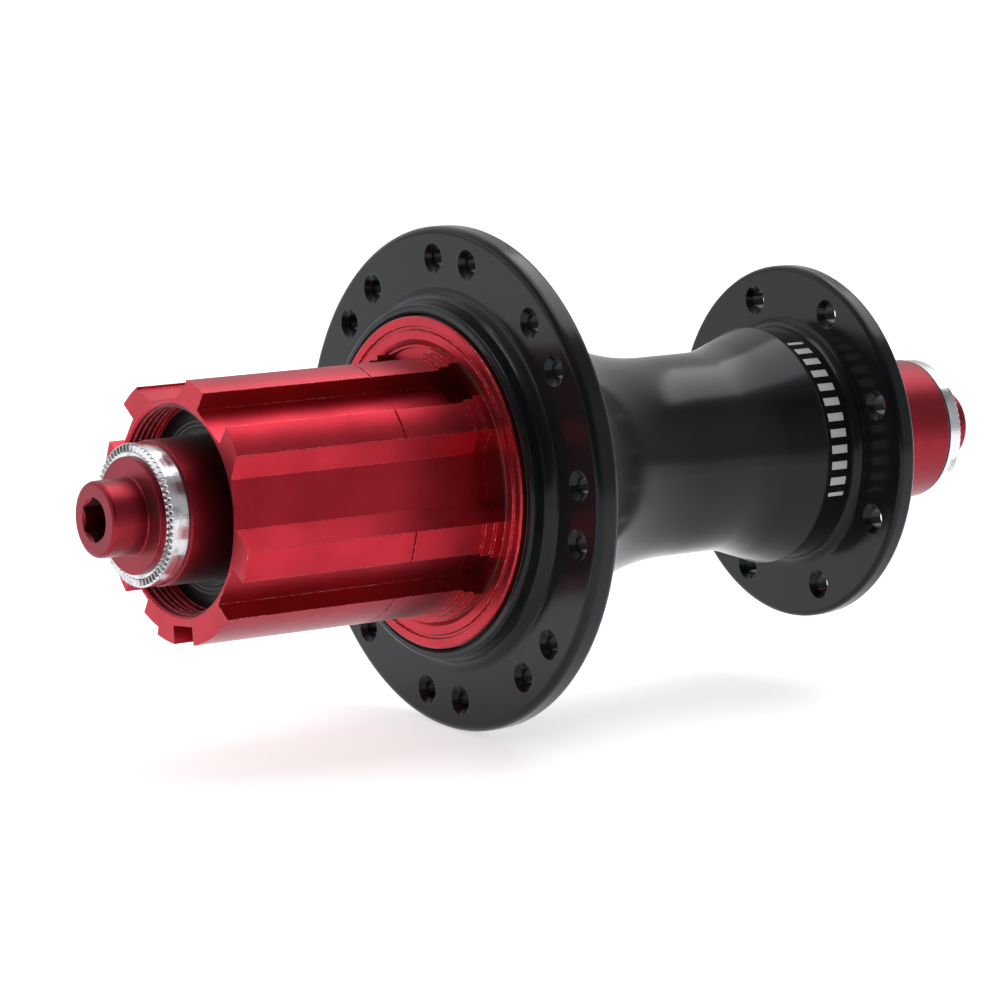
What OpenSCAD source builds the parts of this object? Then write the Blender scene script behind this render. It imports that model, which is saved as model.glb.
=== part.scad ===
// Rear bicycle hub with a deep-splined freehub body, for a 5 mm quick-release skewer.
// The axle lies along Y. The drive side is at -Y and the other side at +Y, with +Z up.
// The origin is on the axle, midway between the two dropout faces.
// Profiles of turned pieces are lists of [radius, y] points.

/* [Spacing] */
// Distance between the two dropout faces (over-locknut distance)
old = 130; // [130:1:135]
// Length of each axle stub beyond its dropout face
stub_len = 5.1; // [4.5:0.1:5.5]
// Radius of each axle stub
stub_r = 4.9; // [4.7:0.05:5]
// Radius of the bore for the quick-release skewer
skewer_r = 2.55; // [2.5:0.05:2.7]
// Size of the hex key that fits the end caps, measured on the socket's flats
hex_af = 5.12; // [5.1:0.01:5.2]

/* [Drive-side flange] */
// Radius of the flange
df_r = 33.4; // [32.5:0.1:34]
// Position of the flange's outboard face
df_y = -16.2; // [-16.6:0.01:-15.8]
// Thickness of the flange
df_t = 3.54; // [3.2:0.01:3.8]
// Radius of the circle through the spoke holes
df_hole_r = 29.2; // [28.8:0.1:29.5]
// Number of pairs of spoke holes
df_pairs = 8; // [6:1:10]
// Angle of each hole from the middle of its pair
df_pair_half = 7.5; // [6:0.5:9]

/* [Other flange] */
// Radius of the flange
nf_r = 24.35; // [23.8:0.05:25]
// Position of the flange's inboard face
nf_y = 41.23; // [41:0.01:41.5]
// Thickness of the flange
nf_t = 2.7; // [2.4:0.1:3]
// Radius of the circle through the spoke holes
nf_hole_r = 20.3; // [20.1:0.1:20.6]
// Number of spoke holes
nf_holes = 8; // [6:1:10]

/* [Spoke holes] */
// Radius of a spoke hole
spoke_r = 1.3; // [1.2:0.05:1.4]
// Radius of the countersink at its mouth
sink_r = 2.0; // [1.8:0.1:2.2]

/* [Shell] */
// Radius of the barrel at its waist
waist_r = 13.6; // [13.4:0.1:14]
// Radius of the housing round the ratchet
housing_r = 22.0; // [21.8:0.1:22.5]
// Radius of the boss round the freehub opening
boss_r = 23.5; // [23.3:0.1:24]
// Radius of the barrel's rim next to the neck
rim_r = 16.3; // [16:0.1:16.6]
// Radius of the neck beside the other flange
neck_r = 15.8; // [15.6:0.1:16]

/* [Freehub body] */
// Radius over the spline ridges
spline_r = 17.25; // [17.1:0.05:17.3]
// Distance of the groove floors from the axis
floor_h = 14.15; // [14:0.05:14.3]
// Position of the mouth face
mouth_y = -58.19; // [-58.5:0.01:-58]
// Radius of the flange
fh_flange_r = 21.9; // [21.5:0.1:22]
// Position of the flange's outboard face
fh_flange_y = -20.0; // [-20.1:0.05:-19.9]
// Major radius of the lockring thread
thread_r = 13.5; // [13.4:0.05:13.6]

/* [Ratchet] */
// Number of ratchet teeth
teeth = 24; // [24:1:24]
// Number of pawls
pawls = 3; // [3:1:3]
// Radius at the tooth crests
crest_r = 17.6; // [17.55:0.01:17.65]
// Radius at the tooth roots
root_r = 19.03; // [19:0.01:19.1]

/* [Hidden] */
$fn = 96;
far = 60;

red = "firebrick";
black = [0.1, 0.1, 0.11];
steel = "silver";
rubber = [0.05, 0.05, 0.05];

// Each bearing: [first y, width, bore r, outer r,
//                inner shoulder r, outer shoulder r, pitch r, ball r, balls]
fh_outer = [-53.8, 5, 8.5, 13, 10.15, 11.35, 10.75, 1.2, 14];
fh_inner = [-12.0, 5, 8.5, 13, 10.15, 11.35, 10.75, 1.2, 14];
sh_drive = [-5.0, 7, 8.5, 15, 10.4, 13.1, 11.75, 1.98, 11];
sh_nds = [38.2, 7, 7.5, 14, 9.5, 12.0, 10.75, 1.75, 11];

// Places along the axle
drop_y = old / 2;          // dropout faces
boss_y = -19.45;           // front of the boss
opening_r = 22.5;          // bore of the boss
cavity_r = 20.6;           // bore that holds the ratchet ring
cavity_y0 = -17.2;
cavity_y1 = -6.2;
waist_y = 17;              // where the drive-side sweep meets the waist
carrier_r = 17.2;          // inner end of the freehub, which carries the pawls
carrier_y = -6.8;
ratchet_y0 = -15;
rim_y = 35.5;              // end of the barrel
barrel_bore_r = 11.6;
nds_end_y = 45.6;          // end of the shell

// ---- helpers ----

// A solid of revolution about the axle from a list of [radius, y] points
module turned(points) rotate([-90, 0, 0]) rotate_extrude() polygon(points);

// A tube or disc about the axle
module tube(r_out, r_in, y0, y1) turned([[r_in, y0], [r_out, y0], [r_out, y1], [r_in, y1]]);

// A 2D outline in x and z, as seen along +Y, extruded from y0 to y1
module along_y(y0, y1) translate([0, y1, 0]) rotate([90, 0, 0]) linear_extrude(y1 - y0) children();

// Turns a 2D outline from the top (+Z) to the angle phi towards +X
module at_angle(phi) rotate([0, 0, -phi]) children();

// Points of an arc, centre [cr, cy], radius r, from angle a0 to a1, in n steps
function arc(cr, cy, r, a0, a1, n) =
    [for (i = [0:n]) let (a = a0 + (a1 - a0) * i / n) [cr + r * cos(a), cy + r * sin(a)]];

// A point in x and z from its radius and its angle phi from the top
function polar(r, phi) = [r * sin(phi), r * cos(phi)];

// ---- hub shell ----

df_edge = 1.0;             // rounding of the drive-side flange's edge
nf_edge = 0.7;             // rounding of the other flange's edge
boss_edge = 0.5;
boss_foot = 1.8;           // fillet between the boss and the flange
sweep_y = -6;              // start of the sweep from the housing down to the waist
sweep_h = housing_r - waist_r;
sweep_l = waist_y - sweep_y;
sweep_R = (sweep_h * sweep_h + sweep_l * sweep_l) / (2 * sweep_h);
sweep_a = asin(sweep_l / sweep_R);
flare_y = 25;              // start of the flare up to the rim
flare_R = 16;
flare_a = 18.5;             // slope at the end of the flare's arc
foot_R = 1.6;              // fillet between the neck and the flange

shell_outline = concat(
    [[opening_r, boss_y]],
    arc(boss_r - boss_edge, boss_y + boss_edge, boss_edge, -90, 0, 4),
    arc(boss_r + boss_foot + 0.1, df_y - boss_foot, boss_foot, 180, 90, 7),
    arc(df_r - df_edge, df_y + df_edge, df_edge, -90, 0, 6),
    arc(df_r - df_edge, df_y + df_t - df_edge, df_edge, 0, 90, 6),
    arc(housing_r + 1.6, df_y + df_t + 1.6, 1.6, 270, 180, 6),
    [[housing_r, sweep_y - 0.6], [housing_r - 0.08, sweep_y - 0.2]],
    arc(waist_r + sweep_R, waist_y, sweep_R, 180 + sweep_a - 1, 180, 36),
    [[waist_r, flare_y]],
    arc(waist_r + flare_R, flare_y, flare_R, 180, 180 - flare_a, 12),
    [[rim_r - 0.05, rim_y - 0.3], [rim_r - 0.15, rim_y], [neck_r, rim_y]],
    arc(neck_r + foot_R, nf_y - foot_R, foot_R, 180, 90, 9),
    arc(nf_r - nf_edge, nf_y + nf_edge, nf_edge, -90, 0, 5),
    arc(nf_r - nf_edge, nf_y + nf_t - nf_edge, nf_edge, 0, 90, 5),
    [[18, nf_y + nf_t], [17.5, nf_y + nf_t + 0.5], [17.2, nds_end_y - 0.3], [16.9, nds_end_y],
     [sh_nds[3], nds_end_y], [sh_nds[3], sh_nds[0]], [barrel_bore_r, sh_nds[0]],
     [barrel_bore_r, sh_drive[0] + sh_drive[1]], [sh_drive[3], sh_drive[0] + sh_drive[1]],
     [sh_drive[3], cavity_y1], [cavity_r, cavity_y1], [cavity_r, cavity_y0],
     [opening_r, cavity_y0]]);

// A spoke hole along Y through a flange from y0 to y1: countersunk at y0, and by far_sink at y1
module spoke_hole(y0, y1, far_sink)
    turned([[0, y0 - 1], [sink_r + 1, y0 - 1], [spoke_r, y0 + sink_r - spoke_r],
            [spoke_r, y1 - far_sink], [spoke_r + far_sink + 1, y1 + 1], [0, y1 + 1]]);

module hub_shell() color(black) difference() {
    turned(shell_outline);
    for (i = [0:df_pairs - 1], s = [-1, 1])
        rotate([0, i * 360 / df_pairs + s * df_pair_half, 0])
            translate([0, 0, df_hole_r]) spoke_hole(df_y, df_y + df_t, sink_r - spoke_r);
    for (i = [0:nf_holes - 1])
        rotate([0, (i + 0.5) * 360 / nf_holes, 0])
            translate([0, 0, nf_hole_r]) spoke_hole(nf_y, nf_y + nf_t, 0.15);
}

// Lip seal pressed into the boss; its lip runs just clear of the freehub's flange
module shell_seal() color(rubber)
    turned([[fh_flange_r + 0.06, -18.7], [opening_r - 0.25, boss_y + 0.15],
            [opening_r, boss_y + 0.25], [opening_r, cavity_y0 - 0.1],
            [fh_flange_r + 0.25, cavity_y0 - 0.1], [fh_flange_r + 0.06, -18.2]]);

// ---- ratchet ----

pitch_a = 360 / teeth;
face_root_a = 11.95;       // angle of a tooth's driving face at its root
face_crest_a = 15.4;       // and at its crest
pivot = polar(15.45, -11.5);
pivot_r = 1.25;
tip = polar(18.72, 12.2);
toe = polar(16.3, 12.9);
fold_a = 11;               // the pawls fold in by this much, clear of the crests
pawl_y0 = -14.2;
pawl_y1 = -8.0;
spring_y = -11.1;          // middle of the ring spring's groove
spring_R = 16.5;
wire_r = 0.35;
slot_r = 16.05;            // floor of the spring's groove

module ratchet_ring() color(steel) along_y(ratchet_y0, cavity_y1) difference() {
    circle(r = cavity_r);
    polygon([for (i = [0:teeth - 1])
        each [polar(root_r, i * pitch_a + face_root_a), polar(crest_r, i * pitch_a + face_crest_a)]]);
}

// A pawl with its tip out in the teeth: a round heel, and a body that starts just inside it
module pawl_shape() {
    neck = 0.94 * pivot_r;
    lean = atan2(tip[1] - pivot[1] - neck, tip[0] - pivot[0]);
    along_y(pawl_y0, pawl_y1) translate(pivot) circle(r = pivot_r);
    along_y(pawl_y0, pawl_y1)
        polygon([pivot + neck * [-sin(lean), cos(lean)], tip, toe, pivot + neck * [sin(8), -cos(8)]]);
}

// A pawl folded into its pocket, slotted for the ring spring that bears on its heel
module pawl(phi) color(steel) rotate([0, phi, 0])
    translate([pivot[0], 0, pivot[1]]) rotate([0, fold_a, 0]) translate([-pivot[0], 0, -pivot[1]])
        difference() {
            pawl_shape();
            tube(far, slot_r - 0.25, spring_y - wire_r - 0.12, spring_y + wire_r + 0.12);
        }
module pawl_1() pawl(0);
module pawl_2() pawl(360 / pawls);
module pawl_3() pawl(2 * 360 / pawls);

// Split wire ring that lies in the grooves of the carrier and the pawls
spring_gap = 16;
module pawl_spring() color(steel)
    rotate([0, 40, 0]) translate([0, spring_y, 0]) rotate([-90, 0, 0])
        rotate_extrude(angle = 360 - spring_gap) translate([spring_R, 0]) circle(r = wire_r, $fn = 32);

// ---- freehub body ----

wide_a = [-12.25, 77.75, 257.75];              // middles of the wide grooves
narrow_a = [32.75, 122.75, 212.75, 302.75];    // middles of the narrow grooves
half_w = 3.14;                                 // half width of every groove floor
wide_top = 5.95;                               // half width of a wide groove at the ridge tops
wide_lip = 15.8;                               // the wide grooves' flanks turn upright here
narrow_top = 3.4;
land_r = 16.2;                                 // lowered end of the wide land
land_a = [193.9, 207.1];
notch_a = 172.3;
notch_w = 2.25;
notch_depth = 3;
scribe_y = -32.8;          // the line scribed round the ridge tops
scribe_w = 0.13;           // and its half width
groove_end = -21.4;        // the groove floors drop into a pocket here
ridge_end = -22.3;         // the ridges step up towards the flange here
pocket_h = 13.2;
pocket_r = 17.8;
pocket_y = -19.2;
foot_y = -21.0;            // and again here
fh_flange_y1 = -17.4;      // inboard face of the flange
fh_bore_r = 11.7;          // bore between the bearings
pawl_floor = [13.82, 14.05];   // height of the floor of a pawl's pocket at its two ends
pawl_bay = [-3.5, 4.85];       // side walls of the pocket

module sector(a0, a1, r) polygon(concat([[0, 0]], [for (i = [0:6]) polar(r, a0 + (a1 - a0) * i / 6)]));

module grooves(top_r, h) {
    for (a = wide_a) at_angle(a)
        polygon([[-half_w, h], [half_w, h], [wide_top, wide_lip], [wide_top + 0.1, top_r],
                 [-wide_top - 0.1, top_r], [-wide_top, wide_lip]]);
    for (a = narrow_a) at_angle(a)
        polygon([[-half_w, h], [half_w, h], [narrow_top, top_r], [-narrow_top, top_r]]);
}

module spline_outline(r) {
    difference() {
        circle(r = r);
        grooves(far / 2, floor_h);
        difference() {
            sector(land_a[0], land_a[1], far / 2);
            circle(r = land_r);
        }
    }
    intersection() {
        sector(land_a[0], land_a[1], far / 2);
        circle(r = land_r);
    }
}

module freehub_body() color(red) difference() {
    union() {
        along_y(mouth_y, ridge_end) spline_outline(spline_r);
        along_y(ridge_end, foot_y) spline_outline(spline_r + 0.5);
        along_y(foot_y, fh_flange_y + 0.5) spline_outline(spline_r + 1.05);
        turned([[0, fh_flange_y + 0.35], [18.1, fh_flange_y + 0.35], [18.9, fh_flange_y],
                [20.0, fh_flange_y], [20.15, fh_flange_y + 0.3], [20.5, fh_flange_y + 0.3],
                [20.65, fh_flange_y], [fh_flange_r - 0.2, fh_flange_y], [fh_flange_r, fh_flange_y + 0.2],
                [fh_flange_r, fh_flange_y1], [carrier_r, fh_flange_y1], [carrier_r, carrier_y + 0.3],
                [carrier_r - 0.3, carrier_y], [0, carrier_y]]);
    }
    // the groove ends sink into pockets in the flange
    along_y(groove_end, pocket_y) intersection() {
        grooves(far / 2, pocket_h);
        circle(r = pocket_r);
    }
    // scribed line round the ridge tops
    turned([[far, scribe_y - scribe_w], [spline_r, scribe_y - scribe_w], [spline_r - 0.3, scribe_y],
            [spline_r, scribe_y + scribe_w], [far, scribe_y + scribe_w]]);
    // notch in the wide land
    along_y(mouth_y - 1, mouth_y + notch_depth) at_angle(notch_a)
        translate([-notch_w, 14.7]) square([2 * notch_w, 5]);
    // bore: thread, outer bearing seat, middle, inner bearing seat
    turned([[0, mouth_y - 1], [thread_r + 1.3, mouth_y - 1], [thread_r, mouth_y + 0.3],
            [thread_r, fh_outer[0] - 0.15], [fh_outer[3], fh_outer[0] - 0.15],
            [fh_outer[3], fh_outer[0] + fh_outer[1]], [fh_bore_r, fh_outer[0] + fh_outer[1]],
            [fh_bore_r, fh_inner[0]], [fh_inner[3], fh_inner[0]], [fh_inner[3], 0], [0, 0]]);
    // groove for the ring spring, and the pawl pockets
    tube(far, slot_r, spring_y - wire_r - 0.1, spring_y + wire_r + 0.1);
    along_y(pawl_y0 - 0.2, pawl_y1 + 0.2) for (k = [0:pawls - 1]) at_angle(k * 360 / pawls) {
        translate(pivot) circle(r = pivot_r + 0.07);
        polygon([[pawl_bay[0], pivot[1]], [pawl_bay[0] + 0.5, pawl_floor[0]],
                 [pawl_bay[1], pawl_floor[1]], [pawl_bay[1], 19], [pawl_bay[0], 19]]);
    }
}

// ---- bearings ----

module outer_race(b) color(steel) difference() {
    tube(b[3], b[5], b[0], b[0] + b[1]);
    translate([0, b[0] + b[1] / 2, 0]) rotate([-90, 0, 0])
        rotate_extrude() translate([b[6], 0]) circle(r = b[7] + 0.05, $fn = 48);
}
module inner_race(b) color(steel) difference() {
    tube(b[4], b[2], b[0], b[0] + b[1]);
    translate([0, b[0] + b[1] / 2, 0]) rotate([-90, 0, 0])
        rotate_extrude() translate([b[6], 0]) circle(r = b[7] + 0.05, $fn = 48);
}
module ball_ring(b, r) for (i = [0:b[8] - 1])
    rotate([0, i * 360 / b[8], 0]) translate([0, b[0] + b[1] / 2, b[6]]) sphere(r = r, $fn = 32);
module balls(b) color("gainsboro") ball_ring(b, b[7]);
module cage(b) color("goldenrod") difference() {
    tube(b[6] + 0.3, b[6] - 0.3, b[0] + b[1] / 2 - b[7] - 0.3, b[0] + b[1] / 2 + b[7] + 0.3);
    ball_ring(b, b[7] + 0.05);
}
module seals(b) color(rubber) for (y = [b[0] + 0.15, b[0] + b[1] - 0.55])
    tube(b[5], b[4] + 0.06, y, y + 0.4);

module freehub_outer_bearing_outer_race() outer_race(fh_outer);
module freehub_outer_bearing_inner_race() inner_race(fh_outer);
module freehub_outer_bearing_balls() balls(fh_outer);
module freehub_outer_bearing_cage() cage(fh_outer);
module freehub_outer_bearing_seals() seals(fh_outer);
module freehub_inner_bearing_outer_race() outer_race(fh_inner);
module freehub_inner_bearing_inner_race() inner_race(fh_inner);
module freehub_inner_bearing_balls() balls(fh_inner);
module freehub_inner_bearing_cage() cage(fh_inner);
module freehub_inner_bearing_seals() seals(fh_inner);
module shell_drive_bearing_outer_race() outer_race(sh_drive);
module shell_drive_bearing_inner_race() inner_race(sh_drive);
module shell_drive_bearing_balls() balls(sh_drive);
module shell_drive_bearing_cage() cage(sh_drive);
module shell_drive_bearing_seals() seals(sh_drive);
module shell_nds_bearing_outer_race() outer_race(sh_nds);
module shell_nds_bearing_inner_race() inner_race(sh_nds);
module shell_nds_bearing_balls() balls(sh_nds);
module shell_nds_bearing_cage() cage(sh_nds);
module shell_nds_bearing_seals() seals(sh_nds);

// ---- axle and its ends ----

axle_bore_r = 5.5;
axle_end = 8;              // length of axle inside each end cap's collar
drive_grip = [drop_y - 0.56, 9.15, 2.66];  // each grip ring: outboard face, radius and width
nds_grip = [drop_y, 9.5, 2.0];
collar_step = 0.15;        // the collar stands this far proud of its grip ring
grip_bore_r = 7.5;
washer_w = 0.23;
hex_depth = 6;
spigot_len = 10;

module axle() color(steel)
    turned([[axle_bore_r, fh_outer[0] - 3], [8.2, fh_outer[0] - 3], [8.5, fh_outer[0] - 2.7],
            [8.5, sh_drive[0] + sh_drive[1]], [10, sh_drive[0] + sh_drive[1]],
            [10, sh_drive[0] + sh_drive[1] + 2], [8.5, sh_drive[0] + sh_drive[1] + 3.5],
            [8.5, sh_nds[0] - 2.5], [9, sh_nds[0] - 2], [9, sh_nds[0]], [7.5, sh_nds[0]],
            [7.5, sh_nds[0] + sh_nds[1] + 7.7], [7.2, sh_nds[0] + sh_nds[1] + axle_end],
            [axle_bore_r, sh_nds[0] + sh_nds[1] + axle_end]]);

module freehub_spacer() color("lightgray")
    tube(10, 8.55, fh_outer[0] + fh_outer[1], fh_inner[0]);
module shell_spacer() color("lightgray")
    tube(10, 8.55, fh_inner[0] + fh_inner[1], sh_drive[0]);

// End cap for the +Y end: stub, dropout face, seat for the grip ring, collar, and a spigot in the axle.
// race_y is the bearing face it butts against; the axle's end has radius axle_r and reaches to axle_y.
module end_cap(race_y, axle_r, axle_y, grip) color(red) difference() {
    seat_y = grip[0] - grip[2] - washer_w;
    collar_r = grip[1] + collar_step;
    turned([[skewer_r, axle_y - spigot_len], [axle_bore_r - 0.04, axle_y - spigot_len],
            [axle_bore_r - 0.04, axle_y + 0.1], [axle_r + 0.04, axle_y + 0.1], [axle_r + 0.04, race_y],
            [collar_r, race_y], [collar_r, seat_y - 0.25], [collar_r - 0.25, seat_y], [grip_bore_r, seat_y],
            [grip_bore_r, drop_y - 0.1], [grip_bore_r - 0.1, drop_y], [stub_r + 0.22, drop_y],
            [stub_r + 0.06, drop_y + 0.06], [stub_r, drop_y + 0.22],
            [stub_r, drop_y + stub_len - 0.5], [stub_r - 0.15, drop_y + stub_len - 0.15],
            [stub_r - 0.5, drop_y + stub_len], [skewer_r, drop_y + stub_len]]);
    along_y(drop_y + stub_len - hex_depth, drop_y + stub_len + 1)
        rotate([0, 0, 96.5]) circle(d = hex_af / cos(30), $fn = 6);
    turned([[0, drop_y + stub_len - 0.35], [skewer_r, drop_y + stub_len - 0.35],
            [skewer_r + 1.35, drop_y + stub_len + 1], [0, drop_y + stub_len + 1]]);
}

// Serrated steel ring on an end cap, and the thin washer behind it, for the +Y end
module grip_ring(grip) color(steel)
    turned([[grip_bore_r, grip[0] - grip[2]], [grip[1], grip[0] - grip[2]], [grip[1], grip[0] - 0.3],
            [grip[1] - 0.3, grip[0]], [grip_bore_r, grip[0]]]);
module grip_washer(grip) color(rubber)
    tube(grip[1] - 0.1, grip_bore_r, grip[0] - grip[2] - washer_w, grip[0] - grip[2]);

module nds_end_cap() end_cap(sh_nds[0] + sh_nds[1], 7.5, sh_nds[0] + sh_nds[1] + axle_end, nds_grip);
module drive_end_cap() mirror([0, 1, 0]) end_cap(-fh_outer[0], 8.5, -fh_outer[0] + 3, drive_grip);
module nds_grip_ring() grip_ring(nds_grip);
module drive_grip_ring() mirror([0, 1, 0]) grip_ring(drive_grip);
module nds_grip_washer() grip_washer(nds_grip);
module drive_grip_washer() mirror([0, 1, 0]) grip_washer(drive_grip);

hub_shell();
shell_seal();
ratchet_ring();
freehub_body();
pawl_1();
pawl_2();
pawl_3();
pawl_spring();
axle();
freehub_spacer();
shell_spacer();
drive_end_cap();
drive_grip_ring();
drive_grip_washer();
nds_end_cap();
nds_grip_ring();
nds_grip_washer();
freehub_outer_bearing_outer_race();
freehub_outer_bearing_inner_race();
freehub_outer_bearing_balls();
freehub_outer_bearing_cage();
freehub_outer_bearing_seals();
freehub_inner_bearing_outer_race();
freehub_inner_bearing_inner_race();
freehub_inner_bearing_balls();
freehub_inner_bearing_cage();
freehub_inner_bearing_seals();
shell_drive_bearing_outer_race();
shell_drive_bearing_inner_race();
shell_drive_bearing_balls();
shell_drive_bearing_cage();
shell_drive_bearing_seals();
shell_nds_bearing_outer_race();
shell_nds_bearing_inner_race();
shell_nds_bearing_balls();
shell_nds_bearing_cage();
shell_nds_bearing_seals();
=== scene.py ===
"""Looks and stage for a rear bicycle hub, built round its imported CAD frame.

The axle lies along Y with the freehub at -Y, Z is up, and lengths are metres.
"""

import math

import bmesh
import bpy
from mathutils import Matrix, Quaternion, Vector


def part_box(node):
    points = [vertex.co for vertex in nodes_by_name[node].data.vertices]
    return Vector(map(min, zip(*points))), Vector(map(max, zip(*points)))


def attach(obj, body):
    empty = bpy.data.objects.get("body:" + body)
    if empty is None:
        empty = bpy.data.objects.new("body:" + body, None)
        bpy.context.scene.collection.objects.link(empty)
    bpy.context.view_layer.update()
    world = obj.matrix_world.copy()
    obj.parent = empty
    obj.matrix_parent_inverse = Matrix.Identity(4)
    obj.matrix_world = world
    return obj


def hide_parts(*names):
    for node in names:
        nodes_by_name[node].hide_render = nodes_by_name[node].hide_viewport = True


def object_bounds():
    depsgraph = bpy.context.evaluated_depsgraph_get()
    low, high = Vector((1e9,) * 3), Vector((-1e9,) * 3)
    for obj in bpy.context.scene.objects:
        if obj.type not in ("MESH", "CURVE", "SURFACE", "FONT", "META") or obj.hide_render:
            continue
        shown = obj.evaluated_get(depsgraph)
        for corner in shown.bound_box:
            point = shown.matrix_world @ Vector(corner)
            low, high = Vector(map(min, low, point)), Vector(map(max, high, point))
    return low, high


MM = 0.001
SEAM = 0.002 * MM  # points closer than this are welded

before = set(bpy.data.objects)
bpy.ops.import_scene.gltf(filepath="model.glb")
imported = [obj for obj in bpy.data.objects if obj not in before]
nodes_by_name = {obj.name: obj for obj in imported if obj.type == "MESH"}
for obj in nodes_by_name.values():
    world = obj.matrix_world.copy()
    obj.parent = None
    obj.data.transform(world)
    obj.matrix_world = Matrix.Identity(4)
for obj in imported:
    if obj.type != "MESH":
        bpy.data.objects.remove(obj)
cad_low, cad_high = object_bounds()


# ---- camera, floor and light ----

def make_camera():
    """A long lens in front of the hub's drive side, a little above it and tilted by under a degree."""
    data = bpy.data.cameras.new("camera")
    data.lens = 173.7
    data.sensor_width = 36.0
    data.clip_start = 0.01
    camera = bpy.data.objects.new("camera", data)
    bpy.context.scene.collection.objects.link(camera)
    aim = Vector((15.82, -18.94, 0.16)) * MM
    distance = 620.0 * MM
    heading = math.radians(35.885)  # from +X towards the drive side
    height = math.radians(10.646)
    tilt = math.radians(0.9284)
    away = Vector((math.cos(height) * math.cos(heading), -math.cos(height) * math.sin(heading),
                   math.sin(height)))
    turn = away.to_track_quat("Z", "Y") @ Quaternion((0.0, 0.0, 1.0), tilt)
    camera.location = aim + distance * away
    camera.rotation_euler = turn.to_euler()
    bpy.context.scene.camera = camera


def make_floor():
    """A white sheet under the large flange."""
    reach = 4.0
    mesh = bpy.data.meshes.new("floor")
    corners = [(-reach, -reach), (reach, -reach), (reach, reach), (-reach, reach)]
    mesh.from_pydata([(x, y, cad_low.z) for x, y in corners], [], [(0, 1, 2, 3)])
    floor = bpy.data.objects.new("floor", mesh)
    bpy.context.scene.collection.objects.link(floor)
    paper = bpy.data.materials.new("white_paper")
    paper.use_nodes = True
    shader = paper.node_tree.nodes["Principled BSDF"]
    shader.label = "matt white paper"
    shader.inputs["Base Color"].default_value = (0.82, 0.82, 0.83, 1.0)
    shader.inputs["Roughness"].default_value = 0.9
    shader.inputs["Specular IOR Level"].default_value = 0.0
    shader.inputs["Emission Color"].default_value = (1.0, 1.0, 1.0, 1.0)
    shader.inputs["Emission Strength"].default_value = 0.62
    mesh.materials.append(paper)


def add_softbox(name, place, target, width, height, power):
    """A rectangular soft light at place, aimed at target."""
    data = bpy.data.lights.new(name, "AREA")
    data.shape = "RECTANGLE"
    data.size = width
    data.size_y = height
    data.energy = power
    light = bpy.data.objects.new(name, data)
    light.location = place
    light.rotation_euler = (Vector(target) - Vector(place)).to_track_quat("-Z", "Y").to_euler()
    light.visible_camera = False
    bpy.context.scene.collection.objects.link(light)


def make_studio():
    """A bright room behind and to the left, paler at the right and dim behind the camera."""
    world = bpy.data.worlds.new("studio")
    bpy.context.scene.world = world
    world.use_nodes = True
    tree = world.node_tree
    tree.nodes.clear()
    direction = tree.nodes.new("ShaderNodeTexCoord")
    direction.label = "direction of the ray"
    direction.location = (-1200, 0)
    glow = None
    # name, direction, cosines of the angle where it starts and where it is full, strength
    lobes = [
        ("ceiling", (-0.25, 0.0, 1.0), 0.45, 0.95, 0.75),
        ("bright wall behind the hub", (-0.80, 0.58, 0.10), 0.20, 0.80, 0.80),
        ("pale wall to the left", (-0.75, -0.65, 0.10), 0.50, 0.95, 0.45),
        ("pale wall at the right", (0.78, 0.55, 0.15), 0.62, 0.98, 0.66),
        ("dim wall behind the camera", (0.60, -0.78, 0.20), 0.30, 0.95, 0.16),
    ]
    for row, (label, towards, start, end, strength) in enumerate(lobes):
        height = -260 * row
        facing = tree.nodes.new("ShaderNodeVectorMath")
        facing.label = "how far towards the " + label
        facing.operation = "DOT_PRODUCT"
        facing.location = (-960, height)
        facing.inputs[1].default_value = Vector(towards).normalized()
        tree.links.new(direction.outputs["Generated"], facing.inputs[0])
        edge = tree.nodes.new("ShaderNodeMapRange")
        edge.label = "soft edge of the " + label
        edge.interpolation_type = "SMOOTHSTEP"
        edge.location = (-720, height)
        edge.inputs["From Min"].default_value = start
        edge.inputs["From Max"].default_value = end
        edge.inputs["To Max"].default_value = strength
        tree.links.new(facing.outputs["Value"], edge.inputs["Value"])
        if glow is None:
            glow = edge.outputs["Result"]
            continue
        total = tree.nodes.new("ShaderNodeMath")
        total.label = "add the " + label
        total.operation = "ADD"
        total.location = (-480, height)
        tree.links.new(glow, total.inputs[0])
        tree.links.new(edge.outputs["Result"], total.inputs[1])
        glow = total.outputs["Value"]
    lit = tree.nodes.new("ShaderNodeBackground")
    lit.label = "light from the room"
    lit.location = (-240, 0)
    tree.links.new(glow, lit.inputs["Strength"])
    seen = tree.nodes.new("ShaderNodeBackground")
    seen.label = "white seen past the floor's edge"
    seen.location = (-240, -160)
    path = tree.nodes.new("ShaderNodeLightPath")
    path.label = "is it looked at directly"
    path.location = (-480, 240)
    mix = tree.nodes.new("ShaderNodeMixShader")
    mix.label = "room or white"
    mix.location = (0, 0)
    tree.links.new(path.outputs["Is Camera Ray"], mix.inputs["Fac"])
    tree.links.new(lit.outputs["Background"], mix.inputs[1])
    tree.links.new(seen.outputs["Background"], mix.inputs[2])
    output = tree.nodes.new("ShaderNodeOutputWorld")
    output.location = (240, 0)
    tree.links.new(mix.outputs["Shader"], output.inputs["Surface"])
    middle = (cad_low + cad_high) / 2
    add_softbox("top_softbox", (-0.05, 0.20, 0.60), middle, 0.5, 0.7, 3.0)
    add_softbox("left_softbox", (-0.45, -0.55, 0.25), middle, 0.5, 0.4, 0.6)


# ---- finishes ----

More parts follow.
